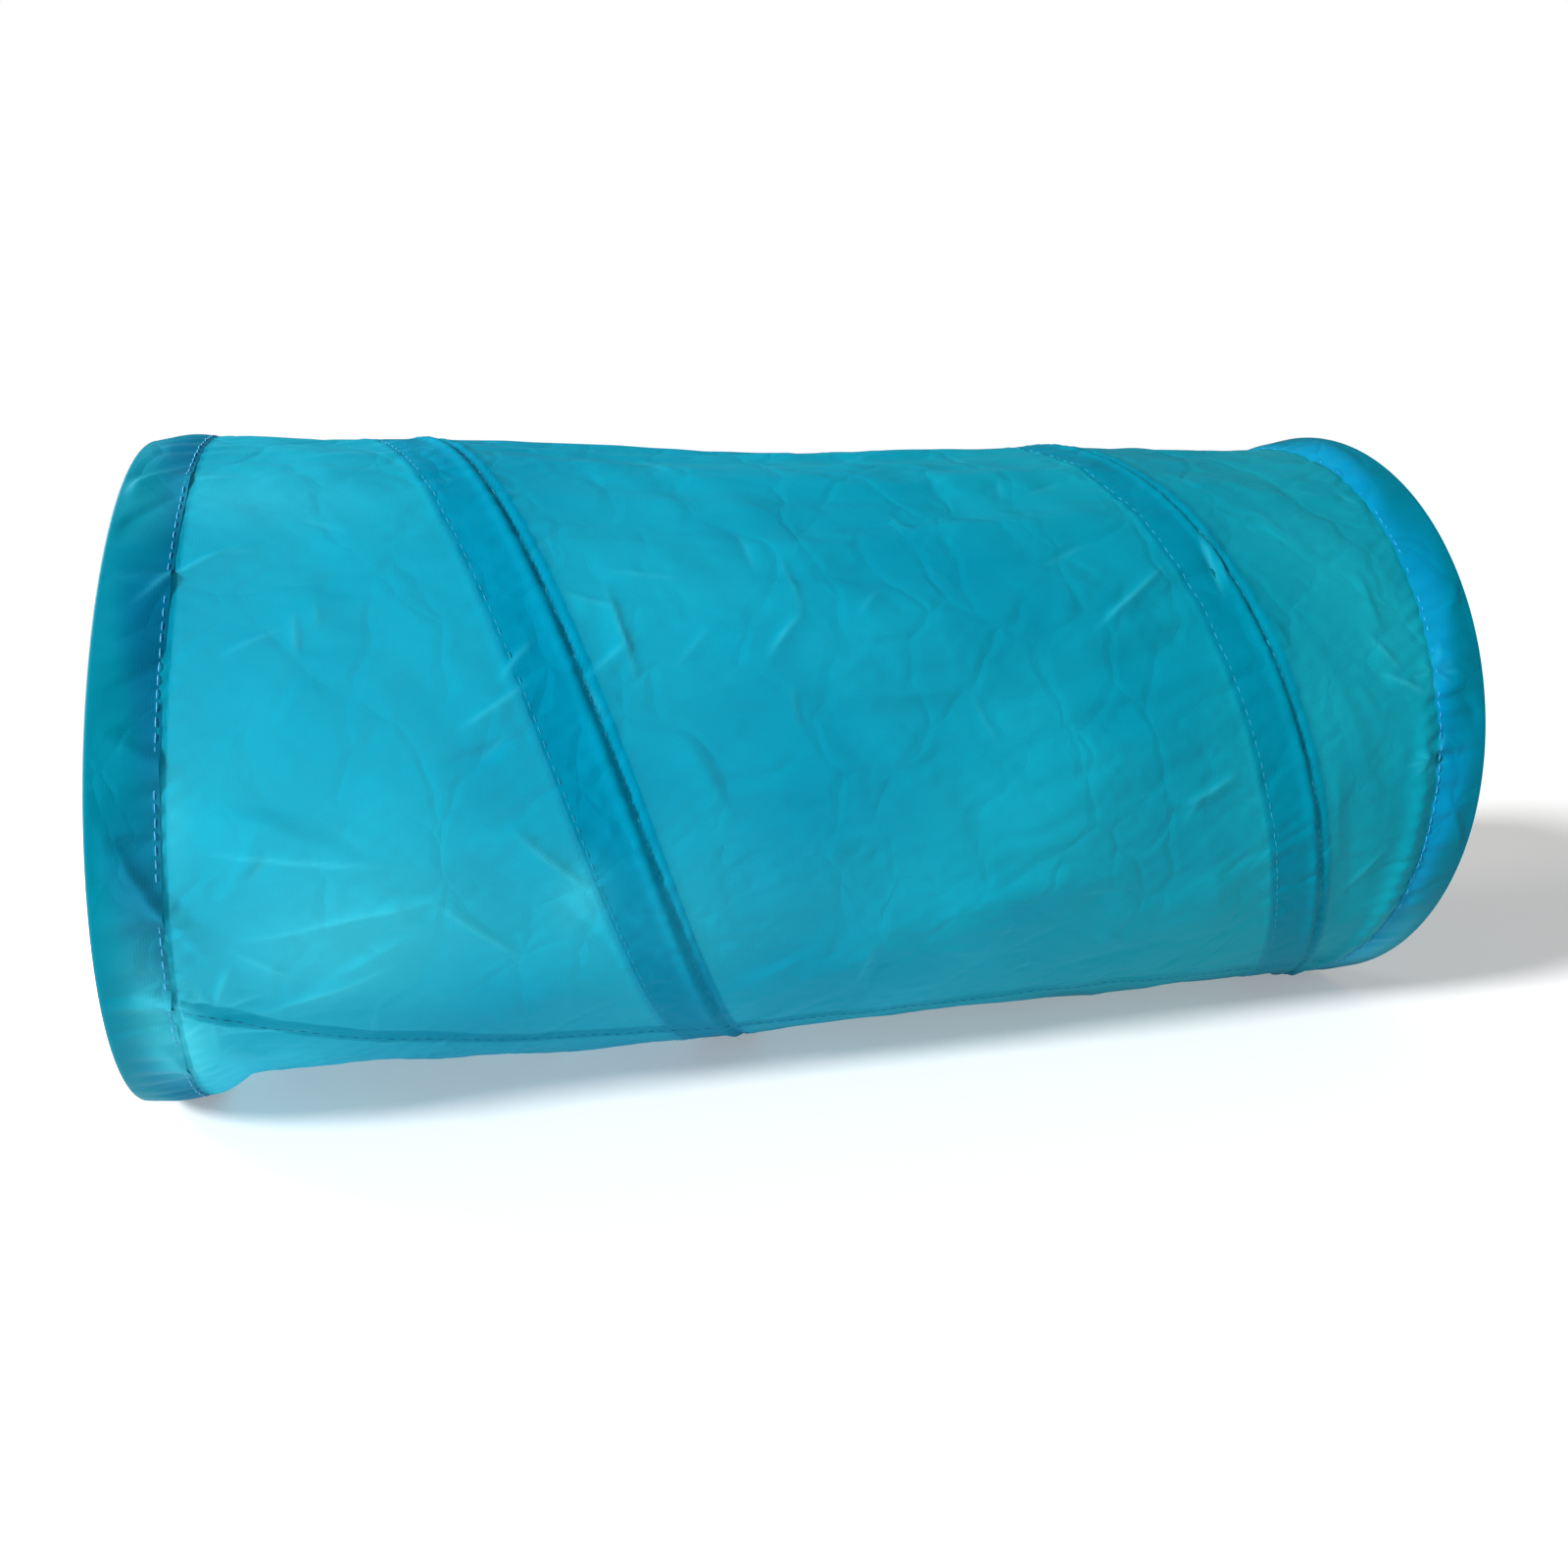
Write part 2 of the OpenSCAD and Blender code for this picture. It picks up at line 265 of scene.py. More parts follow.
def add_crease(height, paler, x, a, crease):
    """Adds one crease to the height of the cloth, and a painted highlight along its crest."""
    at_x, at_a, heading, length, width, rise = crease
    along = x - (FRONT_X + at_x * MM)
    across = np.radians(wrap(a - at_a)) * CLOTH_R
    here = (np.abs(along) < length * MM / 2) & (np.abs(across) < length * MM / 2)
    along = along[here]
    across = across[here]
    turn = math.radians(heading)
    u = (along * math.cos(turn) + across * math.sin(turn)) / (length * MM / 2)
    v = (across * math.cos(turn) - along * math.sin(turn)) / (width * MM)
    v = v + 0.5 * (u * u - 0.3) * math.sin(at_x)  # a fold is seldom straight
    fade = np.maximum(0, 1 - u * u) ** 1.5
    steep = np.where(v > 0, 0.4 * v, v)  # and is steeper on one side
    height[here] += CREASE_GAIN * rise * MM * np.exp(-np.abs(steep) ** 1.4) * fade
    # Narrow creases get a painted highlight, a light line along the crest.
    if width < 2:
        line = bell(v * width / 0.9) * fade * min(1, abs(rise) / 0.9)
        paler[here] = np.maximum(paler[here], line)


def waves(x, a, count, long, wide, slant):
    """A sum of soft slanting undulations from -1 to 1, that closes on itself around the tunnel."""
    total = 0 * (x + a)
    for _ in range(count):
        k = rng.integers(2, int(2 * math.pi * CLOTH_R / wide) + 3)
        phase = rng.uniform(0, 2 * math.pi)
        pull = rng.normal(slant, 0.5 * abs(slant) + 0.2) * k / CLOTH_R
        stretch = rng.uniform(0.5, 1.5) * 2 * math.pi / long
        total = total + np.sin(k * np.radians(a) + pull * x + phase) * np.sin(stretch * x + phase * 3)
    return total / math.sqrt(count)


def between(x, a):
    """0 at a wire or a hem, 1 in the middle of the cloth between two of them."""
    start = front_seam(a)
    end = rear_seam(a)
    for turn in (-360, 0, 360):
        at = wrap(a) + turn
        held = (at >= COIL_FROM - 15) & (at <= COIL_TO + 15)
        line = coil_x(at)
        start = np.where(held & (line <= x) & (line > start), line, start)
        end = np.where(held & (line > x) & (line < end), line, end)
    t = np.clip((x - start) / np.maximum(end - start, 1 * MM), 0, 1)
    return 4 * t * (1 - t)


def drape(x, a):
    """The broad shape of the cloth, as it stands out from the plain tube."""
    slack = between(x, a)
    from_front = (x - front_seam(a)) / MM
    out = 0.35 * MM * tape_step(x, a)
    # Cloth between two wires is drawn in a little, and the lower front part much more.
    out -= 0.4 * MM * slack
    low_front = bell(wrap(a - 172) / 42) * smooth((from_front - 3) / 15) * smooth((150 - from_front) / 150)
    out -= 7.5 * MM * low_front
    # Undulations grow with the slack.
    out += 1.3 * MM * slack * waves(x, a, 9, 0.30, 0.09, 0.5)
    return out


def tape_step(x, a):
    """1 where the channel's tape lies behind the cloth, 0 elsewhere."""
    d = past_coil(x, a) / MM
    return smooth((d + 21.5) / 2.5) - smooth((d - 6) / 2)


def creased_cloth(x, a):
    """Height from every crease, and painted highlights along crests and in patches. The hems share them with
    the sleeve.
    """
    height = 0 * (x + a)
    paler = 0 * (x + a)
    for crease in ALL_CREASES:
        add_crease(height, paler, x, a, crease)
    paler *= 0.5
    for at_x, at_a, along, across, share in HIGHLIGHT_PATCHES:
        u = (x - FRONT_X) / MM - at_x
        v = np.radians(wrap(a - at_a)) * CLOTH_R / MM
        paler = paler + share * bell(u / along) * bell(v / across)
    return height, paler


ALL_CREASES = BROAD_FOLDS + CREASES + pleats() + small_creases()


def relief(x, a):
    """The fine shape of the cloth, and its painted highlights: wire ridge, stitch lines, gathers and creases.
    """
    d = past_coil(x, a) / MM
    slack = between(x, a)
    from_front = (x - front_seam(a)) / MM
    from_rear = (rear_seam(a) - x) / MM
    # A ridge over the wire, a pinched groove behind it, and the stitches along the tape's front edge.
    pinch = 1.15 + 0.4 * np.sin(np.radians(a) * 23 + 2 * np.sin(np.radians(a) * 7))
    out = MM * (0.8 * bell(d / 2.1) - pinch * bell((d - 3.2) / 1.1) + 0.3 * bell((d - 6.5) / 1.8))
    out += MM * (0.2 * bell((d + 20) / 1.4) - 0.12 * bell((d + 17.5) / 1.2))
    out += 0.45 * MM * (0.25 + slack) * waves(x, a, 14, 0.12, 0.035, -0.8)
    # Gathers run away from each row of stitches.
    gather = 0.42 * MM * waves(x, a, 12, 0.3, 0.006, 0.25)
    out += gather * (bell(from_front / 9) + bell(from_rear / 9) + 0.5 * bell((np.abs(d - 3)) / 7))
    creased, paler = creased_cloth(x, a)
    out += creased
    # On the lower near side the sleeve bulges over the rear hem.
    out += 2.0 * MM * bell((from_rear - 5) / 4) * rear_tuck(a)
    return out, paler


def rear_tuck(a):
    """1 where the sleeve folds over the rear hem, 0 elsewhere."""
    return smooth((wrap(a) - 76) / 14) * smooth((178 - wrap(a)) / 20)


def above_floor(points):
    """The same points, pressed flat where they would go through the floor."""
    points = points.copy()
    under = FLOOR_GAP + 0.4 * MM
    deep = np.clip(under - points[..., 2], 0, 2 * MM)
    points[..., 2] = np.maximum(points[..., 2], under) - 0.15 * deep
    return points


def sleeve_grid(rows, turns):
    """x and angle of each point of a sleeve grid. Both ends are tucked under the hems."""
    a = np.arange(turns) * 360 / turns
    start = front_seam(a) - TUCK
    end = rear_seam(a) + TUCK
    x = start + (end - start) * np.linspace(0, 1, rows)[:, None]
    return x, a[None, :] + 0 * x


def way_out(points):
    """Unit normals of a sleeve grid, pointing away from the tunnel's inside."""
    across = np.roll(points, -1, 1) - np.roll(points, 1, 1)
    along = np.gradient(points, axis=0)
    out = unit(np.cross(along, across))
    return out * np.sign(np.mean(out[..., 1] * points[..., 1]))


def finer(grid, count, axis, closed):
    """A grid with more points along one axis, on smooth curves through the given ones."""
    grid = np.moveaxis(grid, axis, 0)
    size = len(grid)
    place = np.arange(count) * (size / count if closed else (size - 1) / (count - 1))
    base = np.floor(place).astype(int)
    t = (place - base).reshape(-1, *[1] * (grid.ndim - 1))
    near = [base + step for step in (-1, 0, 1, 2)]
    near = [n % size if closed else np.clip(n, 0, size - 1) for n in near]
    p0, p1, p2, p3 = (grid[n] for n in near)
    fine = p1 + t / 2 * (p2 - p0 + t * (2 * p0 - 5 * p1 + 4 * p2 - p3 + t * (3 * (p1 - p2) + p3 - p0)))
    return np.moveaxis(fine, 0, axis)


def settled(rows, turns):
    """The sleeve after cloth simulation. The hems and the coil hold it, it is cut a little too large and
    slightly askew, and it hangs from the wires and lies on the floor."""
    x, a = sleeve_grid(rows, turns)
    points = above_floor(around(x, a, CLOTH_R + drape(x, a)))
    mesh = bpy.data.meshes.new("cloth_to_settle")
    mesh.from_pydata(points.reshape(-1, 3).tolist(), [], grid_faces(rows, turns, False, True).tolist())
    piece = bpy.data.objects.new("cloth_to_settle", mesh)
    bpy.context.scene.collection.objects.link(piece)
    piece.shape_key_add(name="Basis")
    cut = piece.shape_key_add(name="cut")
    middle = (FRONT_X + REAR_X) / 2
    skew = math.degrees(CUT_SKEW / CLOTH_R)
    larger = around(middle + (x - middle) * CUT_LONGER, a + skew * (x - middle) / 0.1, CLOTH_R * CUT_WIDER)
    cut.data.foreach_set("co", larger.ravel())
    cut.value = 0
    held = np.abs(past_coil(x, a)) < HELD_BY_COIL
    held[[0, 1, -2, -1]] = True
    group = piece.vertex_groups.new(name="held")
    group.add(np.flatnonzero(held).tolist(), 1.0, "REPLACE")
    cloth = piece.modifiers.new("cloth", "CLOTH")
    settings = cloth.settings
    settings.quality = 6
    settings.mass = 0.02
    settings.tension_stiffness = 12
    settings.compression_stiffness = 12
    settings.shear_stiffness = 4
    settings.bending_stiffness = 0.4
    settings.air_damping = 4
    settings.vertex_group_mass = "held"
    settings.rest_shape_key = cut
    settings.effector_weights.gravity = 0.15
    cloth.collision_settings.use_collision = False
    cloth.point_cache.frame_start = 1
    cloth.point_cache.frame_end = SIM_FRAMES
    scene = bpy.context.scene
    for number in range(1, SIM_FRAMES + 1):
        scene.frame_set(number)
    result = piece.evaluated_get(bpy.context.evaluated_depsgraph_get()).to_mesh()
    after = np.empty(rows * turns * 3)
    result.vertices.foreach_get("co", after)
    scene.frame_set(1)
    bpy.data.objects.remove(piece)
    moved = after.reshape(points.shape) - points
    far = np.linalg.norm(moved, axis=-1, keepdims=True)
    moved = moved * np.minimum(1, MOST_MOVE / np.maximum(far, 1e-9))
    return above_floor(points + moved)


class Cloth:
    """The sleeve's surface as a grid of points, which other pieces lie on."""

    def __init__(self):
        self.x, angles = sleeve_grid(ROWS, TURNS)
        self.a = angles[0]
        points = finer(finer(settled(SIM_ROWS, SIM_TURNS), ROWS, 0, False), TURNS, 1, True)
        height, self.paler = relief(self.x, angles)
        points = points + way_out(points) * height[..., None]
        self.points = above_floor(points)
        self.way_out = way_out(self.points)

    def sample(self, grid, x, a):
        """Reads a grid of values at any x and angle."""
        x, a = np.broadcast_arrays(np.asarray(x, float), np.asarray(a, float))
        j = (a % 360) / 360 * TURNS
        j0 = np.floor(j).astype(int) % TURNS
        j1 = (j0 + 1) % TURNS
        fj = (j - np.floor(j))[..., None]
        start = front_seam(a) - TUCK
        end = rear_seam(a) + TUCK
        i = np.clip((x - start) / (end - start), 0, 1) * (ROWS - 1)
        i0 = np.minimum(np.floor(i).astype(int), ROWS - 2)
        fi = (i - i0)[..., None]
        low = grid[i0, j0] * (1 - fj) + grid[i0, j1] * fj
        high = grid[i0 + 1, j0] * (1 - fj) + grid[i0 + 1, j1] * fj
        return low * (1 - fi) + high * fi

    def at(self, x, a, depth=0.0):
        """Points under the sleeve's outside by a depth, and the way out of the cloth there."""
        surface = self.sample(self.points, x, a)
        from_axis = unit(surface * (0, 1, 1) - (0, 0, AXIS_Z))
        return surface - from_axis * np.asarray(depth)[..., None], unit(self.sample(self.way_out, x, a))


# ---- Mesh helpers ----
def add_mesh(name, points, faces, material, uv=None, marks=None):
    """A mesh object from an array of points. uv is per point, and marks are named values per point."""
    mesh = bpy.data.meshes.new(name)
    mesh.from_pydata(np.asarray(points).reshape(-1, 3).tolist(), [], [list(map(int, f)) for f in faces])
    mesh.update()
    mesh.polygons.foreach_set("use_smooth", [True] * len(mesh.polygons))
    if uv is not None:
        layer = mesh.uv_layers.new(name="Cloth")
        corner = np.empty(len(mesh.loops), int)
        mesh.loops.foreach_get("vertex_index", corner)
        layer.data.foreach_set("uv", np.asarray(uv).reshape(-1, 2)[corner].ravel())
    for key, values in (marks or {}).items():
        attribute = mesh.attributes.new(key, "FLOAT", "POINT")
        attribute.data.foreach_set("value", np.asarray(values, np.float32).ravel())
    piece = bpy.data.objects.new(name, mesh)
    bpy.context.scene.collection.objects.link(piece)
    mesh.materials.append(material)
    return piece


def grid_faces(rows, columns, closed_rows=False, closed_columns=False):
    """Quads of a grid of points, joined on itself where asked."""
    i = np.arange(rows if closed_rows else rows - 1)[:, None]
    j = np.arange(columns if closed_columns else columns - 1)[None, :]
    i1 = (i + 1) % rows
    j1 = (j + 1) % columns
    quads = np.stack([i * columns + j, i * columns + j1, i1 * columns + j1, i1 * columns + j], -1)
    return quads.reshape(-1, 4)


def tube(name, line, side, radius, material, sides=14, closed=False):
    """A wire along a line of points. side is any direction that isn't along the line, and radius is a
    number or one for each point."""
    if closed:
        along = unit(np.roll(line, -1, 0) - np.roll(line, 1, 0))
    else:
        along = unit(np.gradient(line, axis=0))
    side = unit(side - along * np.sum(side * along, -1, keepdims=True))
    other = np.cross(along, side)
    b = np.linspace(0, 2 * math.pi, sides, endpoint=False)
    ring = side[:, None] * np.cos(b)[None, :, None] + other[:, None] * np.sin(b)[None, :, None]
    points = line[:, None] + ring * np.broadcast_to(radius, len(line))[:, None, None]
    faces = grid_faces(len(line), sides, closed, True).tolist()
    if not closed:
        faces.append(list(range(sides))[::-1])
        faces.append(list(range((len(line) - 1) * sides, len(line) * sides)))
    return add_mesh(name, points, faces, material)


def stitches(name, line, out, material, closed=False):
    """A row of lockstitches along a line of points on the cloth. Each dips into it at both ends."""
    if closed:
        line = np.concatenate([line, line[:1]])
        out = np.concatenate([out, out[:1]])
    step = np.linalg.norm(np.diff(line, axis=0), axis=1)
    place = np.concatenate([[0], np.cumsum(step)])
    count = int(place[-1] / STITCH)
    pitch = place[-1] / count
    profile = np.array([0.0, 0.12, 0.5, 0.88, 1.0])
    height = np.array([-0.30, 0.10, 0.26, 0.10, -0.30]) * MM
    girth = np.array([0.45, 0.85, 1.0, 0.85, 0.45]) * THREAD_R
    b = np.linspace(0, 2 * math.pi, 6, endpoint=False)
    points = []
    faces = []
    for k in range(count):
        s = k * pitch + pitch * (0.1 + 0.8 * profile) + rng.normal(0, 0.04) * pitch
        mid = np.stack([np.interp(s, place, line[:, c]) for c in range(3)], -1)
        up = unit(np.stack([np.interp(s, place, out[:, c]) for c in range(3)], -1))
        along = unit(mid[-1] - mid[0])
        flat = unit(np.cross(along, up))
        mid = mid + up * height[:, None] + flat * rng.normal(0, 0.05) * MM
        ring = up[:, None] * np.cos(b)[None, :, None] + flat[:, None] * np.sin(b)[None, :, None]
        base = k * len(profile) * 6
        points.append(mid[:, None] + ring * girth[:, None, None])
        faces += (grid_faces(len(profile), 6, False, True) + base).tolist()
        faces.append([base + n for n in range(6)][::-1])
        faces.append([base + (len(profile) - 1) * 6 + n for n in range(6)])
    return add_mesh(name, np.array(points), faces, material)


# ---- Materials ----
def new_material(name):
    material = bpy.data.materials.new(name)
    material.use_nodes = True
    nodes = material.node_tree.nodes
    nodes.clear()
    output = nodes.new("ShaderNodeOutputMaterial")
    shader = nodes.new("ShaderNodeBsdfPrincipled")
    material.node_tree.links.new(shader.outputs[0], output.inputs[0])
    return material, nodes, material.node_tree.links, shader, output


def add_node(nodes, kind, inputs):
    """A node with some of its inputs set by name."""
    node = nodes.new(kind)
    for name, value in inputs.items():
        node.inputs[name].default_value = value
    return node


def noise(nodes, links, place, scale, detail):
    node = add_node(nodes, "ShaderNodeTexNoise", {"Scale": scale, "Detail": detail})
    links.new(place, node.inputs["Vector"])
    return node


def ramp(nodes, links, share, stops):
    """A colour that a share from 0 to 1 picks from some stops."""
    node = nodes.new("ShaderNodeValToRGB")
    for element, (position, colour) in zip(node.color_ramp.elements, stops):
        element.position = position
        element.color = colour
    links.new(share, node.inputs["Fac"])
    return node.outputs["Color"]


def mixed(nodes, links, factor, a, b, blend="MIX"):
    """The colour between a and b by a factor. Each of the three is a socket or a fixed value."""
    node = nodes.new("ShaderNodeMix")
    node.data_type = "RGBA"
    node.blend_type = blend
    for name, value in (("Factor", factor), ("A", a), ("B", b)):
        if isinstance(value, bpy.types.NodeSocket):
            links.new(value, node.inputs[name])
        else:
            node.inputs[name].default_value = value
    return node.outputs["Result"]


def bumped(nodes, links, height, strength, distance):
    node = add_node(nodes, "ShaderNodeBump", {"Strength": strength, "Distance": distance})
    links.new(height, node.inputs["Height"])
    return node


def mark(nodes, name):
    """The value that a mesh holds at each point under a name."""
    node = nodes.new("ShaderNodeAttribute")
    node.attribute_name = name
    return node.outputs["Fac"]


def cloth_colour(nodes, links, place, thin, double):
    """Patchy dye, darker where two layers of cloth lie and darker, more green towards the rear, both painted
    shade, and lighter on crease crests and in patches as painted highlights.
    """
    patches = noise(nodes, links, place, 9, 3)
    dye = ramp(nodes, links, patches.outputs["Fac"], [
        (0.35, (thin[0] * 0.9, thin[1] * 0.86, thin[2] * 0.9, 1)),
        (0.65, (thin[0] * 1.1 + 0.004, thin[1] * 1.1, thin[2] * 1.06, 1)),
    ])
    # Painted shade: where the ply mark is 1 the colour becomes the double one.
    ply_shaded = mixed(nodes, links, mark(nodes, "ply"), dye, (*double, 1))
    # Painted shade: the colour grows darker and more green towards the rear end.
    split = nodes.new("ShaderNodeSeparateXYZ")
    links.new(place, split.inputs[0])
    rear_shade_share = add_node(nodes, "ShaderNodeMapRange", {"From Min": -0.05, "From Max": 0.24})
    links.new(split.outputs["X"], rear_shade_share.inputs["Value"])
    rear_shaded = mixed(nodes, links, rear_shade_share.outputs[0], ply_shaded, (1, 0.86, 0.76, 1), "MULTIPLY")
    # Painted highlight: the mark lifts the colour towards a light cyan.
    highlight_share = nodes.new("ShaderNodeMath")
    highlight_share.operation = "MULTIPLY"
    highlight_share.use_clamp = True
    highlight_share.inputs[1].default_value = 0.5
    links.new(mark(nodes, "painted_highlight"), highlight_share.inputs[0])
    return mixed(nodes, links, highlight_share.outputs[0], rear_shaded, (0.06, 0.60, 0.74, 1))


def weave(nodes, links):
    """Warp and weft ribs as a bump, the weft a little coarser."""
    uv = nodes.new("ShaderNodeUVMap")
    uv.uv_map = "Cloth"
    both = nodes.new("ShaderNodeMath")
    both.operation = "ADD"
    for number, (direction, scale, uneven) in enumerate((("X", 330, 1.2), ("Y", 260, 0.8))):
        rib = add_node(nodes, "ShaderNodeTexWave", {
            "Scale": scale, "Distortion": uneven, "Detail": 2, "Detail Scale": 60,
        })
        rib.bands_direction = direction
        links.new(uv.outputs["UV"], rib.inputs["Vector"])
        links.new(rib.outputs["Fac"], both.inputs[number])
    return bumped(nodes, links, both.outputs[0], 0.16, 0.12 * MM)


def crumple(nodes, links, place):
    """The fine facets that packing flat leaves in the cloth, as a bump."""
    bend = noise(nodes, links, place, 14, 4)
    stir = nodes.new("ShaderNodeVectorMath")
    stir.operation = "MULTIPLY_ADD"
    stir.inputs[1].default_value = (0.06, 0.06, 0.06)
    links.new(bend.outputs["Color"], stir.inputs[0])
    links.new(place, stir.inputs[2])
    facets = nodes.new("ShaderNodeTexVoronoi")
    facets.feature = "DISTANCE_TO_EDGE"
    facets.inputs["Scale"].default_value = 32
    links.new(stir.outputs[0], facets.inputs["Vector"])
    soft = add_node(nodes, "ShaderNodeMapRange", {"From Max": 0.12})
    links.new(facets.outputs["Distance"], soft.inputs["Value"])
    return bumped(nodes, links, soft.outputs[0], 0.4, 0.7 * MM)


def cloth_material(name, thin, double, through):
    """Thin taffeta with a soft sheen. thin is its colour as one ply, and double its colour where a second ply
    lies behind it, as painted shade; through is the share of light that passes through it."""
    material, nodes, links, shader, output = new_material(name)
    place = nodes.new("ShaderNodeTexCoord").outputs["Object"]
    colour = cloth_colour(nodes, links, place, thin, double)
    relief_bump = crumple(nodes, links, place)
    links.new(weave(nodes, links).outputs[0], relief_bump.inputs["Normal"])
    shader.inputs["Roughness"].default_value = 0.56
    shader.inputs["Specular IOR Level"].default_value = 0.06
    shader.inputs["Specular Tint"].default_value = (0.05, 0.8, 1.0, 1)
    links.new(colour, shader.inputs["Base Color"])
    links.new(relief_bump.outputs[0], shader.inputs["Normal"])
    glow = nodes.new("ShaderNodeBsdfTranslucent")
    links.new(mixed(nodes, links, 0.04, colour, (0.8, 0.9, 0.9, 1)), glow.inputs["Color"])
    links.new(relief_bump.outputs[0], glow.inputs["Normal"])
    both = nodes.new("ShaderNodeMixShader")
    both.inputs[0].default_value = through
    links.new(shader.outputs[0], both.inputs[1])
    links.new(glow.outputs[0], both.inputs[2])
    links.new(both.outputs[0], output.inputs[0])
    return material


def steel_material():
    material, nodes, links, shader, _ = new_material("SpringSteel")
    place = nodes.new("ShaderNodeTexCoord").outputs["Object"]
    drawn = noise(nodes, links, place, 400, 5).outputs["Fac"]
    tone = ramp(nodes, links, drawn, [(0.3, (0.32, 0.31, 0.30, 1)), (0.7, (0.55, 0.55, 0.56, 1))])
    rough = add_node(nodes, "ShaderNodeMapRange", {"To Min": 0.25, "To Max": 0.45})
    links.new(drawn, rough.inputs["Value"])
    shader.inputs["Metallic"].default_value = 1
    links.new(tone, shader.inputs["Base Color"])
    links.new(rough.outputs[0], shader.inputs["Roughness"])
    return material


def plain_material(name, low, high, scale, roughness, metallic=0.0):
    """A small part's material: two tones of one colour in fine grain, with a matching bump."""
    material, nodes, links, shader, _ = new_material(name)
    place = nodes.new("ShaderNodeTexCoord").outputs["Object"]
    grain = noise(nodes, links, place, scale, 4).outputs["Fac"]
    tone = ramp(nodes, links, grain, [(0.3, (*low, 1)), (0.7, (*high, 1))])
    links.new(tone, shader.inputs["Base Color"])
    links.new(bumped(nodes, links, grain, 0.3, 0.1 * MM).outputs[0], shader.inputs["Normal"])
    shader.inputs["Roughness"].default_value = roughness
    shader.inputs["Metallic"].default_value = metallic
    return material


TAFFETA = cloth_material("Taffeta", (0.0, 0.30, 0.44), (0.0, 0.255, 0.41), 0.25)
# The hems are the sleeve's taffeta folded double; their colours, mostly darker than the sleeve's, are painted
# shade of the folded cloth.
FRONT_TAFFETA = cloth_material("FrontHemTaffeta", (0.0, 0.15, 0.28), (0.0, 0.205, 0.30), 0.22)
REAR_TAFFETA = cloth_material("RearHemTaffeta", (0.0, 0.28, 0.58), (0.0, 0.19, 0.32), 0.22)
TAPE_TAFFETA = cloth_material("TapeTaffeta", (0.0, 0.36, 0.52), (0.0, 0.25, 0.4), 0.5)
PALE_THREAD = plain_material("PaleThread", (0.02, 0.28, 0.62), (0.10, 0.50, 0.80), 900, 0.6)
BLUE_THREAD = plain_material("BlueThread", (0.0, 0.13, 0.42), (0.03, 0.40, 0.72), 900, 0.6)
DYED_THREAD = plain_material("DyedThread", (0.0, 0.22, 0.35), (0.0, 0.27, 0.41), 2500, 0.8)
STEEL = steel_material()
CRIMP = plain_material("Crimp", (0.55, 0.55, 0.57), (0.75, 0.75, 0.77), 900, 0.35, 1.0)
VINYL = plain_material("Vinyl", (0.012, 0.012, 0.014), (0.03, 0.03, 0.034), 600, 0.5)


def follow(piece, body, slot, *nodes):
    """The piece rides on its end's body and stands for its CAD nodes."""
    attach(piece, body)
    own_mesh(piece)
    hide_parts(*nodes)
    return piece


# ---- Sleeve ----
def make_sleeve(cloth):
    arc = 2 * math.pi * CLOTH_R
    d = past_coil(cloth.x, cloth.a[None, :] + 0 * cloth.x) / MM
    # Painted shade: the ply mark darkens the cloth where the tape or the seam's edges lie behind it, for the
    # light that the second ply holds back.
    ply = smooth((d + 20.5) / 1.0) - smooth((d - 6.5) / 1.5)
    seam = seam_line(cloth.x)
    off_seam = np.radians(wrap(cloth.a[None, :] - seam)) * CLOTH_R / MM
    ply = np.clip(ply + 0.1 * bell(off_seam / 3), 0, 1)
    points = cloth.points
    uv = np.stack([cloth.x, np.radians(cloth.a)[None, :] * CLOTH_R + 0 * cloth.x], -1)
    faces = grid_faces(ROWS, TURNS, False, True)[:, ::-1]
    piece = add_mesh("sleeve_cloth", points, faces, TAFFETA, uv, {"ply": ply, "painted_highlight": cloth.paler})
    # The last column's corners meet the first again, so their layout runs on instead of back.
    layer = piece.data.uv_layers["Cloth"]
    for face in range(TURNS - 1, len(piece.data.polygons), TURNS):
        for loop in piece.data.polygons[face].loop_indices:
            if piece.data.loops[loop].vertex_index % TURNS == 0:
                layer.data[loop].uv[1] += arc
    follow(piece, "front_end", "sleeve_cloth", "sleeve")
    return piece


def seam_line(x):
    """The angle of the lengthwise seam. The front hem pulls its end up towards the near side."""
    return SEAM_ANGLE - 24 * np.exp(-(x - FRONT_X - HEM_W) / (75 * MM))


# ---- Channel, coil and their stitches ----
COIL_ANGLES = np.arange(COIL_FROM, COIL_TO + 1, 2.0)
TAPE_ANGLES = np.arange(COIL_FROM - 4, COIL_TO + 3, 2.0)  # the tape closes over the wire's capped ends


def tape_edges(a):
    front = np.maximum(coil_x(a) - TAPE_FRONT, front_seam(a) + 1 * MM)
    rear = np.minimum(coil_x(a) + TAPE_REAR, rear_seam(a) - 1 * MM)
    return front, rear


